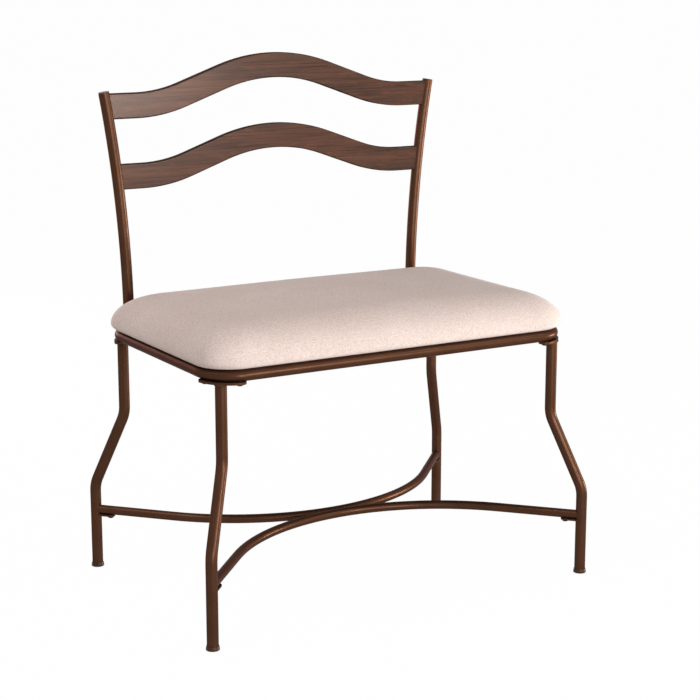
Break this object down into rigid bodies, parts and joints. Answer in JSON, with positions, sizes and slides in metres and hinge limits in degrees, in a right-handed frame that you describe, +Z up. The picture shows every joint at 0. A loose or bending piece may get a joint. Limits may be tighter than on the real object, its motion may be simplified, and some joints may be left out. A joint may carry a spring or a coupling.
{
  "type": "vanity bench",
  "caption": "Low-backed vanity bench: bowed and splayed tube frame, wave-shaped wooden back rails and a padded fabric seat.",
  "frame": {"origin": "on the floor, midway between the four feet", "axes": "+Z up, +X to the sitter's left as seen from the front (right in the picture), +Y to the back"},
  "size_m": [0.7424, 0.4862, 0.8962],
  "materials": {
    "frame_metal": "coffee-brown semi-gloss powder coat with a bronze tone",
    "rail_wood": "reddish-brown stained wood, satin lacquer",
    "seat_fabric": "fine cream woven upholstery cloth, matte",
    "seat_foam": "open-cell upholstery foam",
    "dust_cloth": "black non-woven lining",
    "plywood": "raw plywood",
    "cap_plastic": "dark brown moulded plastic",
    "fastener_steel": "dark blackened steel"
  },
  "bodies": {
    "root": {"back_post_left": "frame_metal", "back_post_right": "frame_metal", "dust_cover": "dust_cloth", "foot_front_left": "cap_plastic", "foot_front_right": "cap_plastic", "foot_rear_left": "cap_plastic", "foot_rear_right": "cap_plastic", "leg_front_left": "frame_metal", "leg_front_right": "frame_metal", "leg_plate_bolts": "fastener_steel", "leg_plate_front_left": "frame_metal", "leg_plate_front_right": "frame_metal", "leg_plate_rear_left": "frame_metal", "leg_plate_rear_right": "frame_metal", "leg_rear_left": "frame_metal", "leg_rear_right": "frame_metal", "lower_rail": "rail_wood", "lower_rail_pins": "fastener_steel", "post_cap_left": "cap_plastic", "post_cap_right": "cap_plastic", "post_plug_left": "cap_plastic", "post_plug_right": "cap_plastic", "ring_insert_nuts": "fastener_steel", "seat_board": "plywood", "seat_bolts": "fastener_steel", "seat_cover": "seat_fabric", "seat_foam": "seat_foam", "seat_ring": "frame_metal", "seat_tab_front_left": "frame_metal", "seat_tab_front_right": "frame_metal", "seat_tab_rear_left": "frame_metal", "seat_tab_rear_right": "frame_metal", "seat_tee_nuts": "fastener_steel", "seat_washers": "fastener_steel", "stretcher_bolts": "fastener_steel", "stretcher_front": "frame_metal", "stretcher_insert_nuts": "fastener_steel", "stretcher_rear": "frame_metal", "stretcher_tab_front_left": "frame_metal", "stretcher_tab_front_right": "frame_metal", "stretcher_tab_rear_left": "frame_metal", "stretcher_tab_rear_right": "frame_metal", "upper_rail": "rail_wood", "upper_rail_pins": "fastener_steel"}
  },
  "joints": []
}
